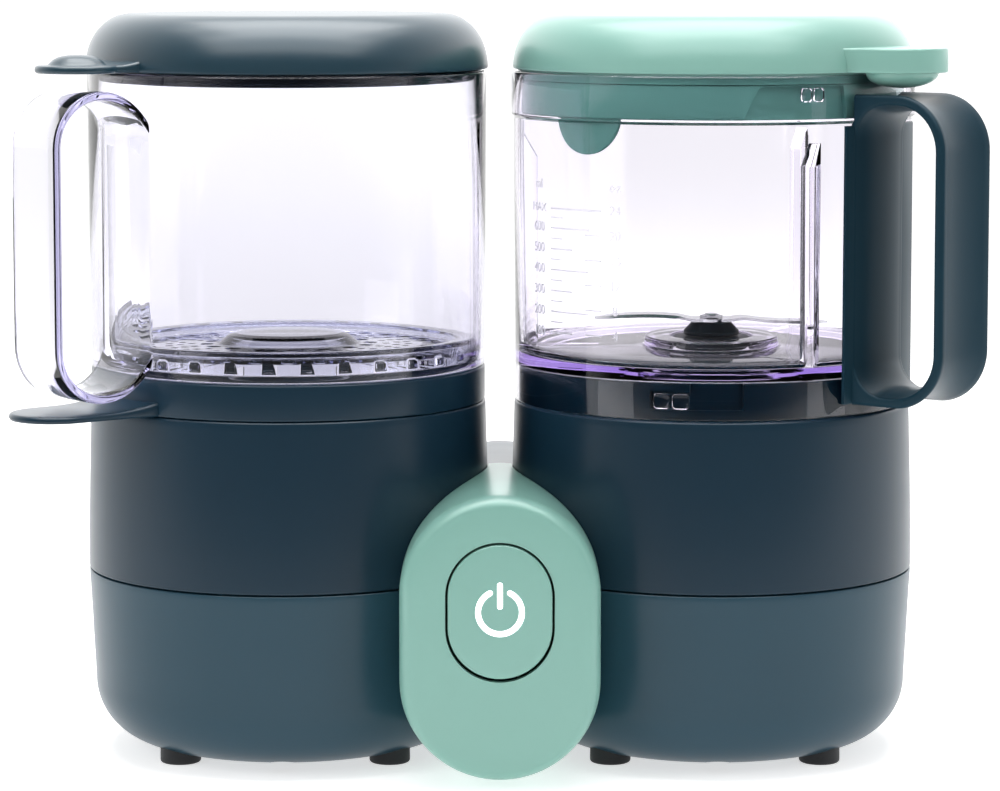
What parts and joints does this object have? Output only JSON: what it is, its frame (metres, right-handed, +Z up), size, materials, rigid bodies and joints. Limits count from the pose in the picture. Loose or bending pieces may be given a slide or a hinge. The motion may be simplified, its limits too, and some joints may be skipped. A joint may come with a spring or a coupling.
{
  "type": "baby food maker",
  "caption": "Counter-top baby food maker: a steam bowl and a blender jug with clear walls, handles and lids stand on two joined dark columns, worked by a single-button pod between them.",
  "frame": {"origin": "on the worktop, at the centre of the footprint, midway between the two columns", "axes": "+Z up, -Y towards the user (the button side), +X from the steam cooker towards the blender"},
  "size_m": [0.328, 0.1606, 0.257],
  "materials": {
    "dark_plastic": "satin, petrol blue",
    "dark_gloss": "polished petrol blue",
    "mint_plastic": "satin gloss, pale green",
    "clear_plastic": "clear polished plastic",
    "black_rubber": "matt",
    "pale_silicone": "matt translucent",
    "steel": "brushed",
    "bronze": "sintered",
    "copper": "enamelled winding",
    "aluminium": "cast",
    "black_plastic": "matt",
    "circuit_board": "solder mask",
    "ferrite": "sintered",
    "white_light": "lit diffuser"
  },
  "bodies": {
    "base": {"lower_housing_left": "dark_plastic", "lower_housing_right": "dark_plastic", "lower_housing_bridge": "dark_plastic", "upper_housing_left": "dark_plastic", "upper_housing_right": "dark_plastic", "upper_housing_bridge": "dark_plastic", "motor_deck": "dark_plastic", "feet": "black_rubber", "housing_screws": "steel", "cord_bush": "black_rubber", "control_pod": "mint_plastic", "control_board": "circuit_board", "button_switch": "black_plastic", "power_board": "circuit_board", "water_reservoir": "steel", "reservoir_seal": "pale_silicone", "heater_plate": "aluminium", "heater_element": "steel", "thermostat": "black_plastic", "motor_stator": "steel", "field_coils": "copper", "motor_bracket_lower": "aluminium", "motor_bracket_upper": "aluminium", "motor_bearings": "bronze", "brush_holders": "black_plastic", "motor_mounts": "black_rubber", "deck_seal": "black_rubber", "reed_switch": "black_plastic"},
    "rotor": {"motor_shaft": "steel", "armature": "copper", "commutator": "copper", "cooling_fan": "black_plastic", "drive_coupling": "black_plastic"},
    "tray": {"juice_tray": "dark_plastic", "tray_tab": "dark_plastic"},
    "bowl": {"steam_bowl": "clear_plastic", "bowl_handle": "clear_plastic", "steam_grid": "clear_plastic"},
    "steamer_lid": {"steamer_lid": "dark_gloss", "steamer_lid_tab": "dark_gloss", "steamer_lid_seal": "black_rubber"},
    "blade_base": {"blade_base": "dark_plastic", "jug_seal": "pale_silicone", "spindle_bush": "bronze", "spindle_seal": "black_rubber", "interlock_magnet": "ferrite"},
    "blade_rotor": {"blade_spindle": "steel", "blade_hub": "black_plastic", "blades": "steel", "blade_nut": "steel", "blade_coupling": "black_plastic"},
    "jug": {"jug": "clear_plastic", "jug_handle": "dark_plastic"},
    "lid_seal": {"lid_seal": "pale_silicone"},
    "blender_lid": {"blender_lid": "mint_plastic", "blender_lid_tab": "mint_plastic"},
    "button": {"start_button": "mint_plastic", "button_icon": "white_light"}
  },
  "joints": [
    {"name": "tray_lift", "type": "slide", "parent": "base", "child": "tray", "axis": [0, 0, 1], "range_m": [0, 0.04]},
    {"name": "bowl_lift", "type": "slide", "parent": "tray", "child": "bowl", "axis": [0, 0, 1], "range_m": [0, 0.03]},
    {"name": "steamer_lid_lift", "type": "slide", "parent": "bowl", "child": "steamer_lid", "axis": [0, 0, 1], "range_m": [0, 0.03]},
    {"name": "jug_lift", "type": "slide", "parent": "base", "child": "blade_base", "axis": [0, 0, 1], "range_m": [0, 0.04]},
    {"name": "jug_twist", "type": "hinge", "parent": "blade_base", "child": "jug", "pos_m": [0.074, 0, 0.129], "axis": [0, 0, 1], "range_deg": [0, 12]},
    {"name": "lid_lift", "type": "slide", "parent": "jug", "child": "lid_seal", "axis": [0, 0, 1], "range_m": [0, 0.045]},
    {"name": "lid_turn", "type": "hinge", "parent": "lid_seal", "child": "blender_lid", "pos_m": [0.074, 0, 0.23], "axis": [0, 0, 1], "range_deg": [0, 12]},
    {"name": "motor_spin", "type": "hinge", "parent": "base", "child": "rotor", "pos_m": [0.074, 0, 0.07], "axis": [0, 0, 1], "continuous": true},
    {"name": "blade_spin", "type": "hinge", "parent": "blade_base", "child": "blade_rotor", "pos_m": [0.074, 0, 0.14], "axis": [0, 0, 1], "continuous": true},
    {"name": "button_press", "type": "slide", "parent": "base", "child": "button", "axis": [0, 1, 0], "range_m": [0, 0.0015], "stiffness_N_per_m": 600}
  ],
  "couplings": [
    {"joint": "blade_spin", "follows": "motor_spin", "ratio": 1}
  ]
}
